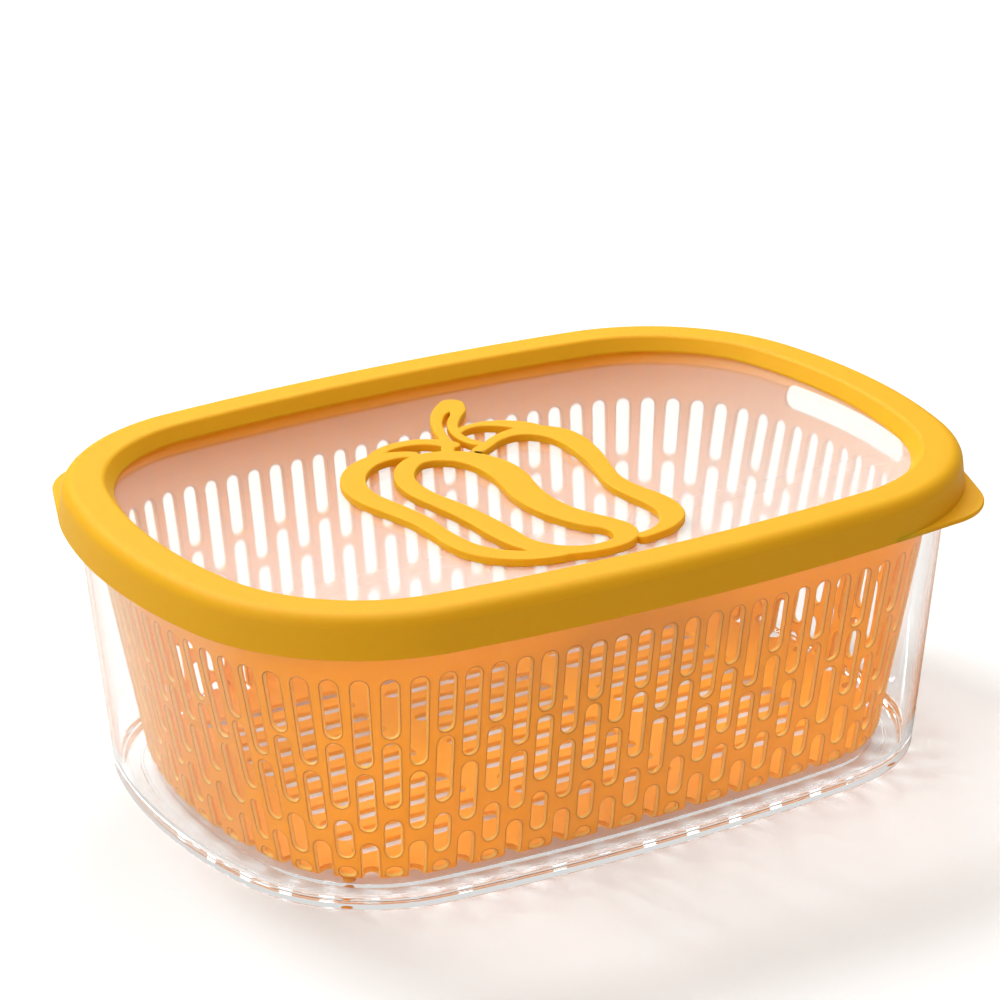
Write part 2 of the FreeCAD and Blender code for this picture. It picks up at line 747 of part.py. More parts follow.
def make_pepper():
    """Openwork pepper standing on the window panel, drawn with strokes that run into one another."""
    height = Vector(0, 0, size("pepper_height"))
    figure = closed_stroke(CENTRE_LOBE).extrude(height)
    for points in (RIGHT_LOBE, LEFT_LOBE, LEFT_SEPAL, RIGHT_SEPAL, STEM_LEFT, STEM_RIGHT):
        figure = figure.fuse(open_stroke(points).extrude(height))
    pepper = doc.addObject("Part::Feature", "pepper_ornament")
    pepper.Label = "pepper_ornament"
    pepper.Shape = figure.removeSplitter()
    pepper.Placement = Placement(Vector(0, 0, total(WINDOW_TOP)), Rotation())
    return pepper


# Whole keeper

nodes = [make_tub(), make_basket(), make_lid_frame(), make_lid_window(), make_pepper()]
doc.recompute()

for item in doc.Objects:
    if "Invalid" in item.State or "Error" in item.State:
        raise RuntimeError(f"{item.Name} did not build: {item.State}")
for node in nodes:
    if node.Shape.isNull() or not node.Shape.isValid():
        raise RuntimeError(f"{node.Label} has no valid shape")

os.makedirs("parts", exist_ok=True)
for node in nodes:
    node.Shape.exportStep(f"parts/{node.Label}.step")
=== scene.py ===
import math

import bmesh
import bpy
import numpy as np
from mathutils import Matrix, Vector


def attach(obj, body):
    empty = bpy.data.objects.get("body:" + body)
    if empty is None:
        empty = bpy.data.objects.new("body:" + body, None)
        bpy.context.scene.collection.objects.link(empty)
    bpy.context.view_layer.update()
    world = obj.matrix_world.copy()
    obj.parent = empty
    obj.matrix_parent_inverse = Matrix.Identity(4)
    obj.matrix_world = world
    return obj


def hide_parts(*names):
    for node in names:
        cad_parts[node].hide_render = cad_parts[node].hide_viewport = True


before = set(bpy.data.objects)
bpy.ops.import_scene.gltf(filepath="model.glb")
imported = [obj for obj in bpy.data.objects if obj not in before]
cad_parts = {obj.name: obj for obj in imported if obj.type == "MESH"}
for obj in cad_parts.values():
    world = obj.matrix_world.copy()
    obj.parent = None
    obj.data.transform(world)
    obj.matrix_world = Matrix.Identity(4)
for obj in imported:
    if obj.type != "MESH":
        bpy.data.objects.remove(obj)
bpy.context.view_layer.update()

# Sizes in millimetres, shared by the pieces

MM = 0.001
FOOT_PLAN = {"half_length": 125.0, "half_width": 86.8, "side": 706.3, "corner": 53.0, "end": 177.9}
LID_PLAN = {"half_length": 140.0, "half_width": 97.6, "side": 733.7, "corner": 67.0, "end": 178.4}

TUB_HEIGHT = 95.5
TUB_WALL = 2.0
TUB_FLOOR = 2.2
TUB_RIM_INSET = 4.6
TUB_BOTTOM_ROUND = 0.9
TUB_INNER_ROUND = 4.6
TUB_EDGE_ROUND = 0.7
FOOT_BAND = 8.0
FOOT_RECESS = 1.0
FOOT_RAMP = 4.0
FOOT_RING = 0.2
FLAT_INSET = 40.0

BASKET_BASE = 4.7
BASKET_TOP = 90.5
BASKET_WALL = 1.8
BASKET_ROUND = 3.5
BASKET_BASE_INSET = 10.2
BASKET_RIM_INSET = 9.0
RIM_LIP_WIDTH = 1.2
RIM_LIP_HEIGHT = 2.4
NUB_RADIUS = 2.0
NUB_INSET = 4.0
NUB_HEIGHT = 2.0
NUB_ROUND = 0.4

SLOT_COLUMNS = 88
SLOT_WIDTH = 4.6
SLOT_EDGE_ROUND = 0.6

LID_TOP = 98.2
LID_TOP_THICKNESS = 2.4
SKIRT_BOTTOM = 85.2
SKIRT_WALL = 1.8
SEAL_WALL = 1.8
WINDOW_TOP = 93.2
WINDOW_THICKNESS = 1.8
REBATE_INSET = 14.6
WINDOW_CLEARANCE = 0.2
TAB_ANGLE = 52.0
TAB_REACH = 7.4
TAB_TIP_RADIUS = 24.0
TAB_THICKNESS = 1.6
THIN_EDGE_ROUND = 0.5
PEPPER_EDGE_ROUND = 0.55
PEPPER_SLIMMER = 0.3

# Share of its radius by which a soft edge is still cut back at its middle
EDGE_MIDDLE = 0.3
WELD_DISTANCE = 0.02

# Outlines of tub and lid: eight tangent arcs, walked counter-clockwise from the +X end


def plan_arcs(plan):
    """Centre, radius, start and end angle of each arc."""
    side_centre = np.array([0.0, plan["half_width"] - plan["side"]])
    end_centre = np.array([plan["half_length"] - plan["end"], 0.0])
    along = end_centre - side_centre
    span = np.linalg.norm(along)
    from_side = plan["side"] - plan["corner"]
    from_end = plan["end"] - plan["corner"]
    reach = (span**2 + from_side**2 - from_end**2) / (2 * span)
    along /= span
    across = np.array([along[1], -along[0]])
    centre = side_centre + along * reach + across * math.sqrt(from_side**2 - reach**2)
    high = math.atan2(*(centre - side_centre)[::-1])
    low = math.atan2(*(centre - end_centre)[::-1])
    x, y = centre
    corner, side, end = plan["corner"], plan["side"], plan["end"]
    pi = math.pi
    half = [
        (end_centre[0], 0, end, -low, low),
        (x, y, corner, low, high),
        (0, side_centre[1], side, high, pi - high),
        (-x, y, corner, pi - high, pi - low),
    ]
    return np.array(half + [(-a, -b, radius, first + pi, last + pi) for a, b, radius, first, last in half])


FOOT_ARCS = plan_arcs(FOOT_PLAN)
LID_ARCS = plan_arcs(LID_PLAN)

# Arc number and share of each point that a swept ring has
ARC_STEPS = (22, 40, 56, 40, 22, 40, 56, 40)
RING_ARCS = np.repeat(np.arange(8), ARC_STEPS)
RING_SHARES = np.concatenate([np.arange(steps) / steps for steps in ARC_STEPS])


def outline_place(arcs, arc, share, inset):
    """Points at a share of numbered arcs, moved in by inset, and the outward directions there."""
    row = arcs[arc]
    angle = row[..., 3] + (row[..., 4] - row[..., 3]) * share
    out = np.stack([np.cos(angle), np.sin(angle)], axis=-1)
    radius = row[..., 2] - inset
    return row[..., :2] + out * np.asarray(radius)[..., None], out


def ring_points(rise, inset, level):
    """One ring: rise 0 follows the foot outline, rise 1 the lid outline, and between them the wall."""
    foot, _ = outline_place(FOOT_ARCS, RING_ARCS, RING_SHARES, inset)
    lid, _ = outline_place(LID_ARCS, RING_ARCS, RING_SHARES, inset)
    flat = foot * (1 - rise) + lid * rise
    return np.column_stack([flat, np.full(len(flat), level)])


# Mesh helpers


def in_scene(name, data):
    """A new object of the scene that shows the given data."""
    thing = bpy.data.objects.new(name, data)
    bpy.context.scene.collection.objects.link(thing)
    return thing


def mesh_piece(name, verts, faces):
    """A piece from points in millimetres."""
    mesh = bpy.data.meshes.new(name)
    mesh.from_pydata([tuple(v) for v in np.asarray(verts) * MM], [], faces)
    mesh.validate()
    return in_scene(name, mesh)


def quarter_turn(steps, begin=0.0):
    """Sine and cosine at even steps up to a right angle."""
    return [(math.sin(angle), math.cos(angle)) for angle in np.linspace(begin, math.pi / 2, steps)]


def rounded_profile(corners, steps=5):
    """Profile points with each corner eased by its own radius. A corner is (rise, inset, level, radius)."""
    points = []
    for index, (rise, inset, level, radius) in enumerate(corners):
        here = np.array([inset, level])
        if radius == 0 or index in (0, len(corners) - 1):
            points.append((rise, inset, level))
            continue
        before = np.array(corners[index - 1][1:3]) - here
        after = np.array(corners[index + 1][1:3]) - here
        before /= np.linalg.norm(before)
        after /= np.linalg.norm(after)
        half = math.acos(np.clip(before @ after, -1, 1)) / 2
        run = radius / math.tan(half)
        middle = before + after
        centre = here + middle / np.linalg.norm(middle) * radius / math.sin(half)
        start = here + before * run - centre
        end = here + after * run - centre
        turn = math.copysign(math.pi - 2 * half, start[0] * end[1] - start[1] * end[0])
        for step in range(steps + 1):
            angle = turn * step / steps
            c, s = math.cos(angle), math.sin(angle)
            x, z = centre + np.array([start[0] * c - start[1] * s, start[0] * s + start[1] * c])
            points.append((rise, x, z))
    return points


def numbered_rings(rings, count):
    """Numbers of the points of equal rings that follow one another."""
    return [range(ring * count, (ring + 1) * count) for ring in range(rings)]


def sleeve_faces(loops):
    """Faces that join equal closed loops one after the other."""
    faces = []
    for low, high in zip(loops, loops[1:]):
        faces += [(low[i - 1], low[i], high[i], high[i - 1]) for i in range(len(low))]
    return faces


def swept_rings(name, profile, closed):
    """A piece swept round the outlines. An open profile is capped flat at both its ends."""
    rings = [ring_points(*point) for point in profile]
    loops = numbered_rings(len(rings), len(RING_ARCS))
    faces = sleeve_faces(loops + loops[:1] if closed else loops)
    if not closed:
        faces += [tuple(loops[0])[::-1], tuple(loops[-1])]
    return mesh_piece(name, np.vstack(rings), faces)


def weigh_normals(piece):
    """Shading normals weighed by face area, so that flat faces stay flat beside their soft edges."""
    mesh = piece.data
    mesh.shade_smooth()
    faces = len(mesh.polygons)
    area, normal, sides = np.zeros(faces), np.zeros(faces * 3), np.zeros(faces, dtype=int)
    mesh.polygons.foreach_get("area", area)
    mesh.polygons.foreach_get("normal", normal)
    mesh.polygons.foreach_get("loop_total", sides)
    corner = np.zeros(len(mesh.loops), dtype=int)
    mesh.loops.foreach_get("vertex_index", corner)
    weighed = np.repeat(normal.reshape(-1, 3) * area[:, None], sides, axis=0)
    summed = np.zeros((len(mesh.vertices), 3))
    np.add.at(summed, corner, weighed)
    summed /= np.maximum(np.linalg.norm(summed, axis=1), 1e-20)[:, None]
    mesh.normals_split_custom_set_from_vertices([tuple(n) for n in summed])


def join_pieces(name, pieces):
    """Joins several meshes into the one piece that the real thing is."""
    merged = bmesh.new()
    for piece in pieces:
        merged.from_mesh(piece.data)
        bpy.data.objects.remove(piece)
    mesh = bpy.data.meshes.new(name)
    merged.to_mesh(mesh)
    merged.free()
    return in_scene(name, mesh)


def baked(piece, name):
    """The piece as it is seen, as a new plain mesh without modifiers."""
    seen = piece.evaluated_get(bpy.context.evaluated_depsgraph_get())
    mesh = bpy.data.meshes.new_from_object(seen)
    mesh.name = name
    bpy.data.objects.remove(piece)
    return in_scene(name, mesh)


# Materials

# Unevenness of a moulded face, too fine to see as waves. It only softens the edge of a highlight.
GRAIN = 0.9
GRAIN_HEIGHT = 0.006

# Painted sheen on the window, a white layer that stands in for the reflection of the studio's white, with the
# places where it starts and is full in metres from the middle
PAINTED_SHEEN_BACK = 0.07
PAINTED_SHEEN_FRONT = -0.08
PAINTED_SHEEN_SHARE = 0.32


def srgb(code):
    """Linear colour of an sRGB hex value."""
    parts = [int(code[i : i + 2], 16) / 255 for i in (1, 3, 5)]
    return tuple(p / 12.92 if p <= 0.04045 else ((p + 0.055) / 1.055) ** 2.4 for p in parts) + (1.0,)


def new_material(name):
    material = bpy.data.materials.new(name)
    material.use_nodes = True
    tree = material.node_tree
    tree.nodes.clear()
    return material, tree


def add_node(tree, kind, inputs=None, **settings):
    """Adds a node. Settings name sockets or properties. Inputs give a value, or the socket that feeds it."""
    node = tree.nodes.new(kind)
    for key, value in settings.items():
        socket = node.inputs.get(key.replace("_", " "))
        if hasattr(node, key) and not (socket and key[0].isupper()):
            setattr(node, key, value)
        else:
            socket.default_value = value
    for key, source in (inputs or {}).items():
        if isinstance(source, bpy.types.NodeSocket):
            tree.links.new(source, node.inputs[key])
        else:
            node.inputs[key].default_value = source
    return node


def deeper_reflection(tree):
    """1 for light that has been reflected twice or more, as light guided inside a clear wall is."""
    depth = add_node(tree, "ShaderNodeLightPath").outputs["Glossy Depth"]
    return add_node(tree, "ShaderNodeMath", {0: depth, 1: 1.5}, operation="GREATER_THAN").outputs[0]


def in_shadow_rays(tree, shader, tint):
    """The shader, and for rays that look for a lamp a tinted way through."""
    asks_for_lamp = add_node(tree, "ShaderNodeLightPath").outputs["Is Shadow Ray"]
    mix = add_node(tree, "ShaderNodeMixShader", {0: asks_for_lamp, 1: shader, 2: tint})
    add_node(tree, "ShaderNodeOutputMaterial", {"Surface": mix.outputs[0]})


def moulded_normal(tree):
    """Very shallow unevenness of a moulded surface, on Object coordinates."""
    place = add_node(tree, "ShaderNodeTexCoord").outputs["Object"]
    grain = add_node(tree, "ShaderNodeTexNoise", {"Vector": place}, Scale=1 / (GRAIN * MM), Detail=2.0)
    height = grain.outputs["Fac"]
    bump = add_node(tree, "ShaderNodeBump", {"Height": height}, Strength=1.0, Distance=GRAIN_HEIGHT * MM)
    return bump.outputs["Normal"]


def opaque_moulding(name, colour, roughness, subsurface, radius_mm):
    """Pigmented plastic in a thick wall: a satin face with a little light spread under it."""
    material, tree = new_material(name)
    shader = add_node(
        tree,
        "ShaderNodeBsdfPrincipled",
        {"Normal": moulded_normal(tree)},
        Base_Color=srgb(colour),
        Roughness=roughness,
        IOR=1.5,
        Specular_IOR_Level=0.3,
        Subsurface_Weight=subsurface,
        Subsurface_Radius=tuple(r * MM for r in radius_mm),
        Subsurface_Scale=1.0,
    )
    add_node(tree, "ShaderNodeOutputMaterial", {"Surface": shader.outputs[0]})
    return material


def thin_moulding(name, colour, edge, glow, shade, glow_share, roughness):
    """Pigmented plastic in a thin wall, which lets a share of the light glow through and tints its shadow. A
    painted highlight colour lies on the rolled lips of its openings.
    """
    material, tree = new_material(name)
    lip_highlight_share = add_node(tree, "ShaderNodeAttribute", attribute_name="painted_lip_highlight_mask").outputs["Fac"]
    # Painted highlight: the lip colour is mixed in where the lip mask is set
    tone = add_node(tree, "ShaderNodeMix", {0: lip_highlight_share, 6: srgb(colour), 7: srgb(edge)}, data_type="RGBA")
    face = add_node(
        tree,
        "ShaderNodeBsdfPrincipled",
        {"Normal": moulded_normal(tree), "Base Color": tone.outputs[2]},
        Roughness=roughness,
        IOR=1.5,
        Specular_IOR_Level=0.3,
    )
    through = add_node(tree, "ShaderNodeBsdfTranslucent", Color=srgb(glow))
    lit = add_node(tree, "ShaderNodeMixShader", {0: glow_share, 1: face.outputs[0], 2: through.outputs[0]})
    tint = add_node(tree, "ShaderNodeBsdfTransparent", Color=srgb(shade))
    in_shadow_rays(tree, lit.outputs[0], tint.outputs[0])
    return material


def under_painted_sheen(tree, shader):
    """The shader under a painted sheen: a white diffuse layer that stands in for the reflection of a studio's
    white on a flat panel, fading to the back.
    """
    place = add_node(tree, "ShaderNodeTexCoord").outputs["Object"]
    along = add_node(tree, "ShaderNodeSeparateXYZ", {"Vector": place}).outputs["Y"]
    reach = {"From_Min": PAINTED_SHEEN_BACK, "From_Max": PAINTED_SHEEN_FRONT, "To_Max": PAINTED_SHEEN_SHARE}
    share = add_node(tree, "ShaderNodeMapRange", {"Value": along}, **reach).outputs["Result"]
    # Painted reflection: a white diffuse layer mixed in, stronger towards the front
    sheen_white = add_node(tree, "ShaderNodeBsdfDiffuse", Color=srgb("#f6f4f2")).outputs[0]
    return add_node(tree, "ShaderNodeMixShader", {0: share, 1: shader, 2: sheen_white}).outputs[0]


def clear_moulding(name, colour, roughness, has_painted_sheen=False):
    """Clear plastic. Rays from lamps, and rays caught inside a wall, pass straight through. If asked, a
    painted sheen lies over it.
    """
    material, tree = new_material(name)
    shader = add_node(
        tree,
        "ShaderNodeBsdfPrincipled",
        Base_Color=srgb(colour),
        Roughness=roughness,
        IOR=1.45,
        Transmission_Weight=1.0,
    )
    body = under_painted_sheen(tree, shader.outputs[0]) if has_painted_sheen else shader.outputs[0]
    through = add_node(tree, "ShaderNodeBsdfTransparent", Color=srgb("#f7f7f7")).outputs[0]
    freed = add_node(tree, "ShaderNodeMixShader", {0: deeper_reflection(tree), 1: body, 2: through})
    in_shadow_rays(tree, freed.outputs[0], through)
    return material


# Lid frame and figure: coloured polypropylene, injection moulded. A satin sheen, and soft, warm edges.
AMBER_POLYPROPYLENE = opaque_moulding(
    "moulded_polypropylene_amber",
    colour="#f2b204",
    roughness=0.6,
    subsurface=0.35,
    radius_mm=(4.0, 1.3, 0.3),
)
# Basket: the same resin with less pigment, injection moulded in a thin wall. Light glows through it to an
# orange, and a painted highlight colours the rolled lips of its openings as thin yellow lines.
ORANGE_POLYPROPYLENE = thin_moulding(
    "moulded_polypropylene_orange",
    colour="#ffb60a",
    # Painted highlight: a pale yellow on the rolled lips, standing in for the light that their round catches
    edge="#fff080",
    glow="#ffcc44",
    shade="#a87038",
    glow_share=0.48,
    roughness=0.45,
)
# Tub: clear styrene copolymer, polished mould. Almost colourless, with a sharp gloss and bright edges.
CLEAR_STYRENE = clear_moulding("moulded_clear_styrene", colour="#fbfcfc", roughness=0.02)
# Lid window: the same clear resin in a flat panel. A painted sheen, a white layer that stands in for the
# studio's reflection, lies over its front part.
CLEAR_PANEL = clear_moulding("moulded_clear_panel", colour="#fdfbf8", roughness=0.04, has_painted_sheen=True)


def dress(piece, material):
    piece.data.materials.clear()
    piece.data.materials.append(material)
    return piece


def finished(piece, material):
    """Gives a finished mesh its shading normals and its material."""
    weigh_normals(piece)
    return dress(piece, material)


# Tub


def tub_outside():
    """Recessed underside with a fine ring round the ramp to its band, foot round, leaning wall."""
    underside = rounded_profile(
        [
            (0, FLAT_INSET, FOOT_RECESS, 0),
            (0, FOOT_BAND + FOOT_RAMP, FOOT_RECESS, 2.0),
            (0, FOOT_BAND + 1.6, FOOT_RING + 0.25, 0.2),
            (0, FOOT_BAND + 1.3, FOOT_RING, 0.1),
            (0, FOOT_BAND + 0.3, FOOT_RING, 0.1),
            (0, FOOT_BAND, 0.0, 0.1),
            (0, TUB_BOTTOM_ROUND, 0.0, 0),
        ]
    )
    foot = [(0, TUB_BOTTOM_ROUND * (1 - s), TUB_BOTTOM_ROUND * (1 - c)) for s, c in quarter_turn(9)]
    rise = TUB_HEIGHT - TUB_BOTTOM_ROUND
    wall = [(t, TUB_RIM_INSET * t, TUB_BOTTOM_ROUND + rise * t) for t in np.linspace(0.02, 1.0, 14)[:-1]]
    return underside[:-1] + foot + wall


def tub_rim():
    """Rounded top edge of the wall, from its outer face to its inner one."""
    outer, inner = TUB_RIM_INSET, TUB_RIM_INSET + TUB_WALL
    soft = TUB_EDGE_ROUND
    over = [(1.0, outer + soft * (1 - c), TUB_HEIGHT - soft * (1 - s)) for s, c in quarter_turn(5)]
    return over + [(1.0, inner - soft * (1 - s), TUB_HEIGHT - soft * (1 - c)) for s, c in quarter_turn(5)]


def tub_inside():
    """Inner wall, large inner round and the floor that steps up over the recess."""
    foot = TUB_FLOOR + TUB_INNER_ROUND
    wall = [
        (t, TUB_WALL + TUB_RIM_INSET * t, foot + (TUB_HEIGHT - foot) * t) for t in np.linspace(0.99, 0.0, 14)
    ]
    curve = [
        (0, TUB_WALL + TUB_INNER_ROUND * (1 - c), TUB_FLOOR + TUB_INNER_ROUND * (1 - s))
        for s, c in quarter_turn(7, 0.1)
    ]
    step = rounded_profile(
        [
            (0, TUB_WALL + TUB_INNER_ROUND + 0.5, TUB_FLOOR, 0),
            (0, FOOT_BAND + 0.5, TUB_FLOOR, 2.0),
            (0, FOOT_BAND + FOOT_RAMP, TUB_FLOOR + FOOT_RECESS, 2.0),
            (0, FLAT_INSET, TUB_FLOOR + FOOT_RECESS, 0),
        ]
    )
    return wall + curve + step


def make_tub():
    """The clear tub, one section swept round the outlines."""
    return finished(swept_rings("clear_tub", tub_outside() + tub_rim() + tub_inside(), False), CLEAR_STYRENE)


# Basket wall, drawn flat and then wrapped round the outlines


def slot_levels(bottom, top, sampled):
    """Half width, level and outward direction up one side of a round-ended slot."""
    half = SLOT_WIDTH / 2
    reach = min(half, (top - bottom) / 2)
    turns = quarter_turn(6)
    rows = [(half * s, bottom + reach * (1 - c), s, -c) for s, c in turns]
    rows += [(half, level, 1.0, 0.0) for level in sampled if bottom + reach + 0.3 < level < top - reach - 0.3]
    return rows + [(half * c, top - reach * (1 - s), c, s) for s, c in turns]


# Rounded edge of an opening, as growth of its outline and height above the wall's outer face
EDGE_LAYERS = (
    (SLOT_EDGE_ROUND, 0.0),
    (SLOT_EDGE_ROUND * EDGE_MIDDLE, -SLOT_EDGE_ROUND * EDGE_MIDDLE),
    (0.0, -SLOT_EDGE_ROUND),
    (0.0, -BASKET_WALL + SLOT_EDGE_ROUND),
    (SLOT_EDGE_ROUND * EDGE_MIDDLE, -BASKET_WALL + SLOT_EDGE_ROUND * EDGE_MIDDLE),
    (SLOT_EDGE_ROUND, -BASKET_WALL),
)

# Levels are lengths along the section of the wall: 0 where the flat floor meets the bottom round
ROUND_LENGTH = BASKET_ROUND * math.pi / 2
FLOOR_SEAM = -5.5


def along_wall(level):
    """Length along the wall's section at a world level above the bottom round."""
    return ROUND_LENGTH + level - BASKET_BASE - BASKET_ROUND


CELL_TOP = along_wall(75.4)
BAND_TOP = along_wall(BASKET_TOP - RIM_LIP_HEIGHT)

# Bottom and top of each slot, in the two kinds of column that take turns
LONG_COLUMN = (
    (-2.5, along_wall(17.75)),
    (along_wall(22.5), along_wall(42.0)),
    (along_wall(44.75), along_wall(74.0)),
)
SHORT_COLUMN = (
    (ROUND_LENGTH - 2.4, ROUND_LENGTH + 1.2),
    (along_wall(13.0), along_wall(25.75)),
    (along_wall(30.5), along_wall(52.5)),
    (along_wall(54.5), along_wall(74.0)),
)
ROUND_LEVELS = tuple(np.linspace(0, ROUND_LENGTH, 7))
WALL_LEVELS = tuple(np.linspace(ROUND_LENGTH + 8, CELL_TOP - 4, 8))
HALF_PITCH = 4.0


def column_rows(slots):
    """Rows of one column as level, number of the slot and point of its side, and the sides of its slots."""
    sampled = ROUND_LEVELS + WALL_LEVELS
    holes = [slot_levels(bottom, top, sampled) for bottom, top in slots]
    rows = []
    for number, hole in enumerate(holes):
        for index, (_, level, _, out_v) in enumerate(hole):
            rows.append((level + out_v * SLOT_EDGE_ROUND, number, index))
    reach = SLOT_EDGE_ROUND + 0.2
    for level in (FLOOR_SEAM, CELL_TOP) + sampled:
        if not any(hole[0][1] - reach < level < hole[-1][1] + reach for hole in holes):
            rows.append((level, None, None))
    rows.sort(key=lambda row: row[0])
    return rows, holes


def column_cell(name, slots, border):
    """One column's flat cell with its slots and both faces. x runs across, y up and z out of the wall."""
    rows, holes = column_rows(slots)
    verts, faces = [], []
    index_of = {}

    def vertex(x, y, z):
        key = (round(x, 4), round(y, 4), round(z, 4))
        if key not in index_of:
            index_of[key] = len(verts)
            verts.append((x, y, z))
        return index_of[key]

    def add_face(loop, turned):
        loop = [v for i, v in enumerate(loop) if v != loop[i - 1]]
        if len(loop) > 2:
            faces.append(tuple(loop[::-1] if turned else loop))

    def hole_point(number, index, grow, side):
        half, level, out_x, out_v = holes[number][index]
        return side * (half + out_x * grow), level + out_v * grow

    def inner_point(row, side):
        level, number, index = row
        return (0.0, level) if number is None else hole_point(number, index, SLOT_EDGE_ROUND, side)

    for side in (-1, 1):
        for depth in (0.0, -BASKET_WALL):
            reached = 0
            for low, high in zip(rows, rows[1:]):
                first = reached
                while reached + 1 < len(border) and border[reached + 1] <= high[0] + 1e-4:
                    reached += 1
                loop = [vertex(*inner_point(low, side), depth)]
                loop += [vertex(side * HALF_PITCH, level, depth) for level in border[first : reached + 1]]
                loop += [vertex(*inner_point(high, side), depth)]
                add_face(loop, (depth == 0.0) == (side < 0))
    for number, hole in enumerate(holes):
        for side in (-1, 1):
            for index in range(len(hole) - 1):
                for low, high in zip(EDGE_LAYERS, EDGE_LAYERS[1:]):
                    turns = ((index, low), (index + 1, low), (index + 1, high), (index, high))
                    loop = [vertex(*hole_point(number, at, grow, side), depth) for at, (grow, depth) in turns]
                    add_face(loop, side > 0)
    return mesh_piece(name, verts, faces)


def slot_tree(kinds):
    """Geometry Nodes: pairs of columns set out along a line, made real and welded."""
    tree = bpy.data.node_groups.new("slot_columns", "GeometryNodeTree")
    tree.interface.new_socket("Geometry", in_out="OUTPUT", socket_type="NodeSocketGeometry")
    identifiers = {}
    for name, kind in kinds.items():
        identifiers[name] = tree.interface.new_socket(name, in_out="INPUT", socket_type=kind).identifier
    given = tree.nodes.new("NodeGroupInput").outputs
    pitch = given["Column Pitch"]
    double = add_node(tree, "ShaderNodeMath", {0: pitch, 1: 2.0}, operation="MULTIPLY")
    step = add_node(tree, "ShaderNodeCombineXYZ", {"X": double.outputs[0]})
    joined = add_node(tree, "GeometryNodeJoinGeometry")
    for name, shift in (("Long Column", 0.0), ("Short Column", 1.0)):
        cell = add_node(tree, "GeometryNodeObjectInfo", {"Object": given[name]})
        start = add_node(tree, "ShaderNodeMath", {0: pitch, 1: shift}, operation="MULTIPLY")
        first = add_node(tree, "ShaderNodeCombineXYZ", {"X": start.outputs[0]})
        line = {"Count": given["Pair Count"], "Start Location": first.outputs[0], "Offset": step.outputs[0]}
        points = add_node(tree, "GeometryNodeMeshLine", line).outputs["Mesh"]
        cells = {"Points": points, "Instance": cell.outputs["Geometry"]}
        placed = add_node(tree, "GeometryNodeInstanceOnPoints", cells)
        tree.links.new(placed.outputs["Instances"], joined.inputs["Geometry"])
    real = add_node(tree, "GeometryNodeRealizeInstances", {"Geometry": joined.outputs[0]}).outputs[0]
    distance = given["Weld Distance"]
    weld = add_node(tree, "GeometryNodeMergeByDistance", {"Geometry": real, "Distance": distance})
    painted = {"Geometry": weld.outputs[0], "Material": given["Material"]}
    paint = add_node(tree, "GeometryNodeSetMaterial", painted)
    add_node(tree, "NodeGroupOutput", {0: paint.outputs[0]})
    return tree, identifiers


def repeated_pair(long_cell, short_cell, count, pitch):
    """The flat strip of the wall, a pair of columns repeated."""
    given = {
        "Long Column": ("NodeSocketObject", long_cell),
        "Short Column": ("NodeSocketObject", short_cell),
        "Pair Count": ("NodeSocketInt", count),
        "Column Pitch": ("NodeSocketFloat", pitch * MM),
        "Weld Distance": ("NodeSocketFloat", WELD_DISTANCE * MM),
        "Material": ("NodeSocketMaterial", ORANGE_POLYPROPYLENE),
    }
    tree, identifiers = slot_tree({name: kind for name, (kind, _) in given.items()})
    carrier = mesh_piece("slot_strip", [(0, 0, 0)], [])
    modifier = carrier.modifiers.new("slot_columns", "NODES")
    modifier.node_group = tree
    for name, (_, value) in given.items():
        modifier[identifiers[name]] = value
    bpy.context.view_layer.update()
    strip = baked(carrier, "slot_strip")
    bpy.data.objects.remove(long_cell)
    bpy.data.objects.remove(short_cell)
    return strip


def arc_lengths(arcs, inset):
    return (arcs[:, 2] - inset) * (arcs[:, 4] - arcs[:, 3])


FOOT_LENGTHS = arc_lengths(FOOT_ARCS, BASKET_BASE_INSET)
RIM_LENGTHS = arc_lengths(LID_ARCS, BASKET_RIM_INSET)
MEAN_LENGTHS = (FOOT_LENGTHS + RIM_LENGTHS) / 2
COLUMN_PITCH = MEAN_LENGTHS.sum() / SLOT_COLUMNS


def arc_at(along):
    """Arc number and share at a mean distance round the wall."""
    seams = np.concatenate([[0.0], np.cumsum(MEAN_LENGTHS)])
    along = np.mod(along, seams[-1])
    arc = np.clip(np.searchsorted(seams, along, side="right") - 1, 0, 7)
    return arc, (along - seams[arc]) / MEAN_LENGTHS[arc]


def wall_rise(level):
    """Height above the bottom round, and the share of the way from foot outline to lid outline."""
    height = np.maximum(level - ROUND_LENGTH, 0.0)
    return height, height / (BASKET_TOP - BASKET_BASE - BASKET_ROUND)


def true_stretch(along, level):
    """Mean distance round the wall for each true millimetre at a level."""
    arc, _ = arc_at(along)
    _, rise = wall_rise(level)
    return MEAN_LENGTHS[arc] / (FOOT_LENGTHS[arc] * (1 - rise) + RIM_LENGTHS[arc] * rise)


def on_wall(along, level, out):
    """World points from mean distance round the wall, length up its section and height above its face."""
    arc, share = arc_at(along)
    height, rise = wall_rise(level)
    turn = np.clip(level / BASKET_ROUND, 0, math.pi / 2)
    sink = np.maximum(-level, 0.0)
    inset = BASKET_ROUND + sink - (BASKET_ROUND + out) * np.sin(turn)
    foot, _ = outline_place(FOOT_ARCS, arc, share, BASKET_BASE_INSET + inset)
    rim, _ = outline_place(LID_ARCS, arc, share, BASKET_RIM_INSET + inset)
    place = foot * (1 - rise[:, None]) + rim * rise[:, None]
    z = BASKET_BASE + BASKET_ROUND - (BASKET_ROUND + out) * np.cos(turn) + height
    return np.column_stack([place, z])


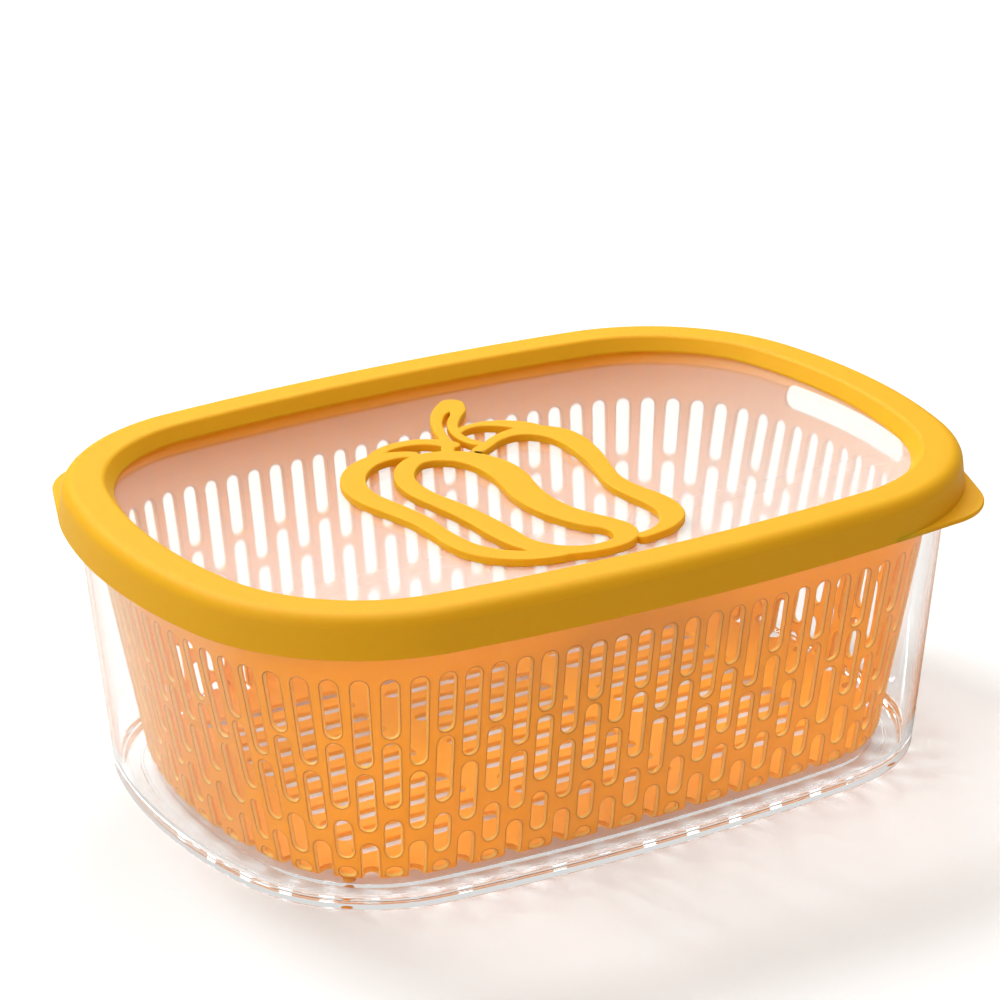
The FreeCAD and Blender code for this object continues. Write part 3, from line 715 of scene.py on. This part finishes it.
def wrapped(flat):
    """World points of the flat cells. Slots keep their width, and the webs between them take up the rest."""
    x, level, out = flat[:, 0], flat[:, 1], flat[:, 2]
    column = np.round(x / (2 * HALF_PITCH))
    offset = x - column * 2 * HALF_PITCH
    base = column * COLUMN_PITCH + MEAN_LENGTHS[0] / 2
    stretch = true_stretch(base, level)
    keep = SLOT_WIDTH / 2 + SLOT_EDGE_ROUND
    kept = keep * stretch
    size = np.abs(offset)
    beyond = kept + (size - keep) / (HALF_PITCH - keep) * (COLUMN_PITCH / 2 - kept)
    moved = np.sign(offset) * np.where(size <= keep, size * stretch, beyond)
    return on_wall(base + moved, level, out)


def slotted_wall():
    """The wall of the basket from the edge of its floor to just above its slots."""
    border = set()
    for slots in (LONG_COLUMN, SHORT_COLUMN):
        rows, _ = column_rows(slots)
        border.update(round(row[0], 4) for row in rows)
    levels = []
    for level in sorted(border):
        if not levels or level - levels[-1] > 0.12:
            levels.append(level)
    levels[-1] = max(border)
    long_cell = column_cell("long_column", LONG_COLUMN, levels)
    short_cell = column_cell("short_column", SHORT_COLUMN, levels)
    return repeated_pair(long_cell, short_cell, SLOT_COLUMNS // 2, 2 * HALF_PITCH)


# Outline of round-ended openings


def stadium(half_length, half_width, steps):
    """Points and outward directions round a round-ended opening along its first axis, counter-clockwise."""
    straight = half_length - half_width
    points = []
    for side in (1, -1):
        for step in range(steps + 1):
            angle = math.pi * (step / steps - 0.5) + (0 if side > 0 else math.pi)
            out = np.array([math.cos(angle), math.sin(angle)])
            points.append((np.array([side * straight, 0.0]) + out * half_width, out))
    return points


# Plain band and rim of the basket

STATIONS = 2 * SLOT_COLUMNS
HOLE_STATIONS = 9
STRAIGHT_STATIONS = 6
HOLE_HALF_LENGTH = 33.0
HOLE_HALF_HEIGHT = 4.0
HOLE_ARC_STEPS = 12
HOLE_LEVEL = along_wall(BASKET_TOP - 7.7)
BAND_LEVELS = (CELL_TOP, (CELL_TOP + BAND_TOP) / 2, BAND_TOP)


def station_along(station):
    """Mean distance round the wall at a station, two of which stand to each column."""
    return MEAN_LENGTHS[0] / 2 + station * COLUMN_PITCH / 2


def plain_band():
    """Band above the slots, with a finger hole in the middle of each end."""
    verts, faces = [], []

    def vertex(along, level, out):
        verts.append((along, level, out))
        return len(verts) - 1

    for out, flip in ((0.0, False), (-BASKET_WALL, True)):
        grid = {}
        for station in range(STATIONS):
            for row, level in enumerate(BAND_LEVELS):
                grid[station, row] = vertex(station_along(station), level, out)
        for station in range(STATIONS):
            following = (station + 1) % STATIONS
            past_end = (station + 0.5) % SLOT_COLUMNS
            if min(past_end, SLOT_COLUMNS - past_end) < HOLE_STATIONS:
                continue
            for row in range(len(BAND_LEVELS) - 1):
                above = row + 1
                loop = (grid[station, row], grid[following, row])
                loop += (grid[following, above], grid[station, above])
                faces.append(loop[::-1] if flip else loop)
        for end in (0, SLOT_COLUMNS):
            faces += hole_surround(vertex, grid, end, out, flip)
    for end in (0, SLOT_COLUMNS):
        faces += hole_sleeve(vertex, end)
    return np.array(verts), faces


def hole_loop(end, grow):
    """Points round a finger hole in wall coordinates, starting at the low end of its right-hand arc."""
    middle = station_along(end)
    stretch = float(true_stretch(np.array([middle]), np.array([HOLE_LEVEL]))[0])
    loop = []
    for point, out in stadium(HOLE_HALF_LENGTH, HOLE_HALF_HEIGHT, HOLE_ARC_STEPS):
        point = point + out * grow
        loop.append((middle + point[0] * stretch, HOLE_LEVEL + point[1]))
    return loop


def straight_edge(end, level, grow):
    """Points of the straight edge of a finger hole at each station, from left to right."""
    return [(station_along(end + k), level + grow) for k in range(-STRAIGHT_STATIONS, STRAIGHT_STATIONS + 1)]


def full_hole_loop(end, grow):
    """The finger hole's edge with its straight sides broken at the stations."""
    arcs = hole_loop(end, grow)
    half = len(arcs) // 2
    high = straight_edge(end, HOLE_LEVEL + HOLE_HALF_HEIGHT, grow)[::-1]
    low = straight_edge(end, HOLE_LEVEL - HOLE_HALF_HEIGHT, -grow)
    return arcs[:half] + high + arcs[half:] + low


def hole_surround(vertex, grid, end, out, flip):
    """Faces of the band round a finger hole."""
    loop = [vertex(*point, out) for point in full_hole_loop(end, SLOT_EDGE_ROUND)]
    half = HOLE_ARC_STEPS + 1
    count = 2 * STRAIGHT_STATIONS + 1
    right, high = loop[:half], loop[half : half + count][::-1]
    left, low = loop[half + count : 2 * half + count], loop[2 * half + count :]
    top = len(BAND_LEVELS) - 1
    faces = []

    def at(k, row):
        return grid[(end + k) % STATIONS, row]

    for index in range(count - 1):
        k = index - STRAIGHT_STATIONS
        faces.append((at(k, 0), at(k + 1, 0), low[index + 1], low[index]))
        faces.append((high[index], high[index + 1], at(k + 1, top), at(k, top)))
    near, far = STRAIGHT_STATIONS, HOLE_STATIONS
    rows = range(len(BAND_LEVELS))
    below = [at(k, 0) for k in range(near, far)]
    above = [at(k, top) for k in range(far - 1, near - 1, -1)]
    faces.append(tuple(below + [at(far, row) for row in rows] + above + [high[-1]] + right[::-1] + [low[-1]]))
    below = [at(k, 0) for k in range(-far + 1, -near + 1)]
    above = [at(k, top) for k in range(-near, -far, -1)]
    up = [at(-far, row) for row in reversed(rows)]
    faces.append(tuple(below + [low[0]] + left[::-1] + [high[0]] + above + up))
    return [face[::-1] for face in faces] if flip else faces


def hole_sleeve(vertex, end):
    """Rounded edge of a finger hole through the wall."""
    loops = [[vertex(*point, out) for point in full_hole_loop(end, grow)] for grow, out in EDGE_LAYERS]
    return sleeve_faces(loops)


def rim_lip():
    """Lip round the basket's top, from the band's face over to its inside."""
    lift, width, soft, bend = RIM_LIP_HEIGHT, RIM_LIP_WIDTH, THIN_EDGE_ROUND, THIN_EDGE_ROUND * EDGE_MIDDLE
    section = [(0.0, 0.0), (width - 0.3, 0.0), (width, 0.3), (width, lift - soft)]
    section += [(width - bend, lift - bend), (width - soft, lift)]
    section += [(-BASKET_WALL + soft, lift), (-BASKET_WALL + bend, lift - bend)]
    section += [(-BASKET_WALL, lift - soft), (-BASKET_WALL, 0.0)]
    verts = [(station_along(k), BAND_TOP + up, out) for out, up in section for k in range(STATIONS)]
    return np.array(verts), sleeve_faces(numbered_rings(len(section), STATIONS))


# Floor of the basket

FLOOR_ROWS = 11
FLOOR_ROW_PITCH = 10.0
FLOOR_SLOTS_PER_ROW = 3
FLOOR_SLOT_PITCH = 62.0
FLOOR_SLOT_LENGTH = 50.0


def floor_slot_loops(grow):
    """Outlines of the floor's slots, grown by a distance."""
    loops = []
    for row in range(FLOOR_ROWS):
        y = (row - (FLOOR_ROWS - 1) / 2) * FLOOR_ROW_PITCH
        for number in range(FLOOR_SLOTS_PER_ROW):
            x = (number - (FLOOR_SLOTS_PER_ROW - 1) / 2) * FLOOR_SLOT_PITCH
            shape = [point + out * grow for point, out in stadium(FLOOR_SLOT_LENGTH / 2, SLOT_WIDTH / 2, 8)]
            loops.append([(x + px, y + py) for px, py in shape])
    return loops


def basket_floor():
    """Flat floor inside the seam with the wall, pierced by rows of slots."""
    built = bmesh.new()
    along = station_along(np.arange(STATIONS))
    for out, up in ((0.0, False), (-BASKET_WALL, True)):
        seam = on_wall(along, np.full(STATIONS, FLOOR_SEAM), np.full(STATIONS, out))
        loops = [[tuple(point) for point in seam]]
        loops += [[(x, y, BASKET_BASE - out) for x, y in loop] for loop in floor_slot_loops(SLOT_EDGE_ROUND)]
        edges = []
        for loop in loops:
            corners = [built.verts.new(Vector(point) * MM) for point in loop]
            edges += [built.edges.new((corners[i - 1], corners[i])) for i in range(len(corners))]
        filled = bmesh.ops.triangle_fill(built, use_beauty=True, use_dissolve=False, edges=edges)
        for face in filled["geom"]:
            if isinstance(face, bmesh.types.BMFace):
                face.normal_update()
                if (face.normal.z > 0) != up:
                    face.normal_flip()
    sleeves = [floor_slot_loops(grow) for grow, _ in EDGE_LAYERS]
    for number in range(len(sleeves[0])):
        loops = []
        for layer, (_, out) in zip(sleeves, EDGE_LAYERS):
            loops.append([built.verts.new(Vector((x, y, BASKET_BASE - out)) * MM) for x, y in layer[number]])
        for low, high in zip(loops, loops[1:]):
            for i in range(len(low)):
                built.faces.new((low[i], low[i - 1], high[i - 1], high[i]))
    mesh = bpy.data.meshes.new("basket_floor")
    built.to_mesh(mesh)
    built.free()
    return in_scene("basket_floor", mesh)


def basket_nubs():
    """Four nubs under the corners of the basket, which stand on the middle of the tub's floor."""
    foot = TUB_FLOOR + FOOT_RECESS
    bend = NUB_ROUND * EDGE_MIDDLE
    section = ((NUB_RADIUS, foot + NUB_HEIGHT), (NUB_RADIUS, foot + NUB_ROUND))
    section += ((NUB_RADIUS - bend, foot + bend), (NUB_RADIUS - NUB_ROUND, foot))
    turns = np.linspace(0, 2 * math.pi, 24, endpoint=False)
    loops = numbered_rings(len(section), len(turns))
    nubs = []
    for corner in (1, 3, 5, 7):
        inset = BASKET_BASE_INSET + NUB_INSET
        places, _ = outline_place(FOOT_ARCS, np.array([corner]), np.array([0.5]), inset)
        x, y = places[0]
        verts = [(x + r * math.cos(a), y + r * math.sin(a), level) for r, level in section for a in turns]
        faces = [face[::-1] for face in sleeve_faces(loops)]
        nubs.append(mesh_piece("nub", verts, faces + [tuple(loops[0]), tuple(loops[-1])[::-1]]))
    return nubs


def weld(piece, distance, turn_out=False):
    """Joins points that lie closer than a distance, and turns the faces outwards if asked."""
    welded = bmesh.new()
    welded.from_mesh(piece.data)
    bmesh.ops.remove_doubles(welded, verts=welded.verts, dist=distance * MM)
    if turn_out:
        bmesh.ops.recalc_face_normals(welded, faces=welded.faces)
    welded.to_mesh(piece.data)
    welded.free()


def mark_lip_highlight(piece, depth):
    """Stores which points lie on the rolled lip of an opening, from their depth under the outer face, as the
    mask of a painted highlight.
    """
    lip = piece.data.attributes.new("painted_lip_highlight_mask", "FLOAT", "POINT")
    lip.data.foreach_set("value", ((depth > 0.05) & (depth < 2 * SLOT_EDGE_ROUND)).astype(float))
    return piece


def make_basket():
    """The drain basket, with its slotted wall, band, rim, slotted floor and nubs in one mesh."""
    strip = slotted_wall()
    flat = np.array([v.co[:] for v in strip.data.vertices]) / MM
    strip.data.vertices.foreach_set("co", (wrapped(flat) * MM).ravel())
    floor = basket_floor()
    levels = np.array([v.co.z for v in floor.data.vertices]) / MM
    parts = [mark_lip_highlight(strip, -flat[:, 2]), mark_lip_highlight(floor, levels - BASKET_BASE)]
    for name, (verts, faces) in (("band", plain_band()), ("rim", rim_lip())):
        parts.append(mark_lip_highlight(mesh_piece(name, on_wall(*verts.T), faces), -verts[:, 2]))
    basket = join_pieces("orange_basket", parts + basket_nubs())
    weld(basket, WELD_DISTANCE)
    return finished(basket, ORANGE_POLYPROPYLENE)


# Lid


def tab_plate(turned):
    """Pull tab at a corner of the lid, a flat plate with soft edges that grows out of the skirt."""
    x, y, corner = LID_ARCS[7][:3]
    centre = np.array([x, y])
    middle = -math.radians(TAB_ANGLE)
    reach = corner + TAB_REACH - TAB_TIP_RADIUS
    spread = math.acos((corner - TAB_TIP_RADIUS) / reach)
    tip = centre + np.array([math.cos(middle), math.sin(middle)]) * reach
    root = corner - 0.9

    def around(place, radius, angle):
        out = np.array([math.cos(angle), math.sin(angle)])
        return place + out * radius, out

    def flank(start, angle, shares):
        skirt, _ = around(centre, corner, angle)
        return [(start[0] + (skirt - start[0]) * share, start[1]) for share in shares]

    first, last = middle - spread, middle + spread
    rim = [around(tip, TAB_TIP_RADIUS, a) for a in np.linspace(first, last, 25)]
    inner = [(around(centre, root, a)[0], np.zeros(2)) for a in np.linspace(last, first, 17)]
    plan = rim + flank(rim[-1], last, (0.33, 0.66, 1)) + inner + flank(rim[0], first, (1, 0.66, 0.33))
    soft, bend, top = THIN_EDGE_ROUND, THIN_EDGE_ROUND * EDGE_MIDDLE, TAB_THICKNESS
    section = [(soft, 0.0), (bend, bend), (0.0, soft), (0.0, top - soft), (bend, top - bend), (soft, top)]
    verts = []
    for inset, up in section:
        verts += [(*(point - out * inset) * turned, SKIRT_BOTTOM + up) for point, out in plan]
    loops = numbered_rings(len(section), len(plan))
    return mesh_piece("tab", verts, sleeve_faces(loops) + [tuple(loops[0])[::-1], tuple(loops[-1])])


def make_lid_frame():
    """Skirt, soft shoulder, flat top, bevel down to the window, ledge over it and seal wall under it."""
    ledge = WINDOW_TOP + 0.02
    seal = REBATE_INSET - SEAL_WALL
    seal_foot = WINDOW_TOP - 1.0
    underside = LID_TOP - LID_TOP_THICKNESS
    middle = (7.0, LID_TOP, 0)
    section = [
        middle,
        (14.0, LID_TOP, 2.2),
        (17.1, ledge + 0.68, 0.3),
        (17.2, ledge, 0.1),
        (REBATE_INSET, ledge, 0.1),
        (REBATE_INSET, seal_foot, 0.2),
        (seal, seal_foot, 0.2),
        (seal, underside, 0.4),
        (SKIRT_WALL + 1.4, underside, 0.8),
        (SKIRT_WALL, SKIRT_BOTTOM, 0.5),
        (0.0, SKIRT_BOTTOM, 0.5),
        (1.4, LID_TOP, 4.6),
        middle,
    ]
    profile = rounded_profile([(1, *corner) for corner in section], 7)[:-1]
    ring = swept_rings("lid_ring", profile[::-1], True)
    whole = join_pieces("lid_frame_seen", [ring, tab_plate(1), tab_plate(-1)])
    return finished(whole, AMBER_POLYPROPYLENE)


def make_window():
    """Clear panel with softly rounded edges, held in the rebate of the frame."""
    inset = REBATE_INSET + WINDOW_CLEARANCE
    low = WINDOW_TOP - WINDOW_THICKNESS
    middle = 60.0
    edge = [(1, inset, low, 0.3), (1, inset, WINDOW_TOP, 0.3)]
    profile = rounded_profile([(1, middle, low, 0)] + edge + [(1, middle, WINDOW_TOP, 0)], 3)
    return finished(swept_rings("clear_window", profile, False), CLEAR_PANEL)


def outline_loops(mesh, level):
    """Closed outlines of the faces that lie flat at a level, as lists of points."""
    flat = bmesh.new()
    flat.from_mesh(mesh)
    bmesh.ops.remove_doubles(flat, verts=flat.verts, dist=0.001 * MM)
    top = {f for f in flat.faces if all(abs(v.co.z - level) < 0.01 * MM for v in f.verts)}
    following = {}
    for face in top:
        for loop in face.loops:
            if not any(other in top for other in loop.edge.link_faces if other is not face):
                following[loop.vert] = loop.link_loop_next.vert
    loops = []
    while following:
        start, point = following.popitem()
        loop = [start.co.copy()]
        while point is not start:
            loop.append(point.co.copy())
            point = following.pop(point)
        loops.append(loop)
    flat.free()
    return loops


def make_ornament():
    """The raised figure, drawn again from its solid's outline with slimmer strokes and rounded edges."""
    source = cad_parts["pepper_ornament"].data
    levels = [v.co.z for v in source.vertices]
    low, high = min(levels), max(levels)
    drawn = bpy.data.curves.new("figure_outline", "CURVE")
    drawn.dimensions = "2D"
    drawn.fill_mode = "BOTH"
    drawn.bevel_depth = PEPPER_EDGE_ROUND * MM
    drawn.bevel_resolution = 2
    drawn.extrude = (high - low) / 2 - drawn.bevel_depth
    drawn.offset = -drawn.bevel_depth - PEPPER_SLIMMER * MM
    for loop in outline_loops(source, high):
        spline = drawn.splines.new("POLY")
        spline.points.add(len(loop) - 1)
        spline.points.foreach_set("co", [n for p in loop for n in (p.x, p.y, 0.0, 1.0)])
        spline.use_cyclic_u = True
    figure = in_scene("figure", drawn)
    bpy.context.view_layer.update()
    figure = baked(figure, "pepper_figure")
    figure.data.transform(Matrix.Translation((0, 0, (low + high) / 2)))
    weld(figure, 0.005, turn_out=True)
    return finished(figure, AMBER_POLYPROPYLENE)


# Stage

# The photograph's view about a point above the middle of the tub, in degrees, millimetres and its pixels
VIEW_AZIMUTH = math.radians(-31.1723)
VIEW_ELEVATION = math.radians(21.9118)
VIEW_DISTANCE = 1182.529
VIEW_TARGET = (0, 0, 50)
SIDE_SHIFT = -5.1224
UP_SHIFT = 30.9131
FOCAL_PIXELS = 3760.52
PHOTO_PIXELS = 1000
SENSOR_WIDTH = 36

# Softboxes, as place, aim, side length in metres, and power in watts
SOFTBOXES = {
    "key_softbox": ((-0.5, 1.6, 1.9), (0, 0, 0.05), 0.7, 33),
    "left_softbox": ((-2.4, -0.3, 0.95), (0, 0, 0.05), 1.2, 15),
    "top_softbox": ((0.1, 0.0, 2.3), (0, 0, 0), 1.6, 15.6),
    "back_softbox": ((0.7, 1.4, 1.8), (0, 0, 0.1), 0.8, 16),
}
LAMP_COLOUR = "#f4fbff"

FLOOR_HALF = 3000.0
FLOOR_SINK = 0.2


def place_camera():
    """The camera where the photograph was taken from."""
    flat = math.cos(VIEW_ELEVATION)
    back = Vector((math.sin(VIEW_AZIMUTH) * flat, -math.cos(VIEW_AZIMUTH) * flat, math.sin(VIEW_ELEVATION)))
    right = Vector((math.cos(VIEW_AZIMUTH), math.sin(VIEW_AZIMUTH), 0))
    place = Vector(VIEW_TARGET) + right * SIDE_SHIFT + back.cross(right) * UP_SHIFT + back * VIEW_DISTANCE
    data = bpy.data.cameras.new("studio_camera")
    data.sensor_width = SENSOR_WIDTH
    data.lens = FOCAL_PIXELS * SENSOR_WIDTH / PHOTO_PIXELS
    data.clip_end = 20
    camera = in_scene("studio_camera", data)
    camera.location = place * MM
    camera.rotation_euler = back.to_track_quat("Z", "Y").to_euler()
    bpy.context.scene.camera = camera


def ray_strength(tree, direct, reflected, lighting):
    """Strength by the kind of ray: straight or through clear plastic, mirrored, or lighting a surface."""
    path = add_node(tree, "ShaderNodeLightPath").outputs
    rays = {0: path["Is Camera Ray"], 1: path["Is Transmission Ray"]}
    straight = add_node(tree, "ShaderNodeMath", rays, operation="MAXIMUM").outputs[0]
    rays = {0: straight, 1: deeper_reflection(tree)}
    seen = add_node(tree, "ShaderNodeMath", rays, operation="MAXIMUM").outputs[0]
    levels = {"Factor": path["Is Glossy Ray"], "A": lighting, "B": reflected}
    unseen = add_node(tree, "ShaderNodeMix", levels, data_type="FLOAT").outputs["Result"]
    levels = {"Factor": seen, "A": unseen, "B": direct}
    return add_node(tree, "ShaderNodeMix", levels, data_type="FLOAT").outputs["Result"]


def make_floor():
    """White paper floor that keeps the shadow and reads as white where nothing shades it."""
    half = FLOOR_HALF
    corners = [(-half, -half, 0), (half, -half, 0), (half, half, 0), (-half, half, 0)]
    floor = mesh_piece("paper_floor", corners, [(0, 1, 2, 3)])
    floor.location.z = -FLOOR_SINK * MM
    # Floor: uncoated white paper. It has no gloss, and its reflection in the tub dims towards the front.
    material, tree = new_material("matt_white_paper")
    place = add_node(tree, "ShaderNodeTexCoord").outputs["Object"]
    along = add_node(tree, "ShaderNodeSeparateXYZ", {"Vector": place}).outputs["Y"]
    reach = {"From_Min": -0.15, "From_Max": 0.15, "To_Min": 0.18, "To_Max": 0.8}
    fade = add_node(tree, "ShaderNodeMapRange", {"Value": along}, interpolation_type="SMOOTHSTEP", **reach)
    share = ray_strength(tree, 0.86, fade.outputs["Result"], 0.62)
    tone = add_node(tree, "ShaderNodeCombineColor", {"Red": share, "Green": share, "Blue": share})
    paper = add_node(tree, "ShaderNodeBsdfDiffuse", {"Color": tone.outputs[0]})
    lift = ray_strength(tree, 0.14, 0.0, 0.0)
    shine = add_node(tree, "ShaderNodeEmission", {"Strength": lift}, Color=(1, 1, 1, 1))
    lit = add_node(tree, "ShaderNodeAddShader", {0: paper.outputs[0], 1: shine.outputs[0]}).outputs[0]
    guided = add_node(tree, "ShaderNodeEmission", Color=srgb("#e9e8e6")).outputs[0]
    seen = add_node(tree, "ShaderNodeMixShader", {0: deeper_reflection(tree), 1: lit, 2: guided})
    add_node(tree, "ShaderNodeOutputMaterial", {"Surface": seen.outputs[0]})
    dress(floor, material)


def make_world():
    """White backdrop, which lights the pieces with the warm tone that the keeper throws back on itself."""
    world = bpy.data.worlds.new("studio")
    bpy.context.scene.world = world
    world.use_nodes = True
    tree = world.node_tree
    tree.nodes.clear()
    lighting = {"Red": 0.40, "Green": 0.345, "Blue": 0.29}
    channels = {name: ray_strength(tree, 1.0, 0.15, level) for name, level in lighting.items()}
    tone = add_node(tree, "ShaderNodeCombineColor", channels)
    back = add_node(tree, "ShaderNodeBackground", {"Color": tone.outputs[0]}, Strength=1.0)
    add_node(tree, "ShaderNodeOutputWorld", {"Surface": back.outputs[0]})


def add_lamp(name, place, aim, side, power):
    """A square softbox."""
    data = bpy.data.lights.new(name, "AREA")
    data.shape = "RECTANGLE"
    data.size = data.size_y = side
    data.energy = power
    data.color = srgb(LAMP_COLOUR)[:3]
    lamp = in_scene(name, data)
    lamp.location = place
    lamp.rotation_euler = (Vector(place) - Vector(aim)).to_track_quat("Z", "Y").to_euler()


def make_stage():
    bpy.context.scene.view_settings.view_transform = "Standard"
    place_camera()
    make_floor()
    make_world()
    for name, softbox in SOFTBOXES.items():
        add_lamp(name, *softbox)


# Whole keeper

tub = make_tub()
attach(tub, "base")
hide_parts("tub")

basket = make_basket()
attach(basket, "base")
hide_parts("basket")

for piece, node, slot in (
    (make_lid_frame(), "lid_frame", "amber_lid"),
    (make_window(), "lid_window", "clear_window"),
    (make_ornament(), "pepper_ornament", "amber_lid"),
):
    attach(piece, "lid")
    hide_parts(node)

make_stage()
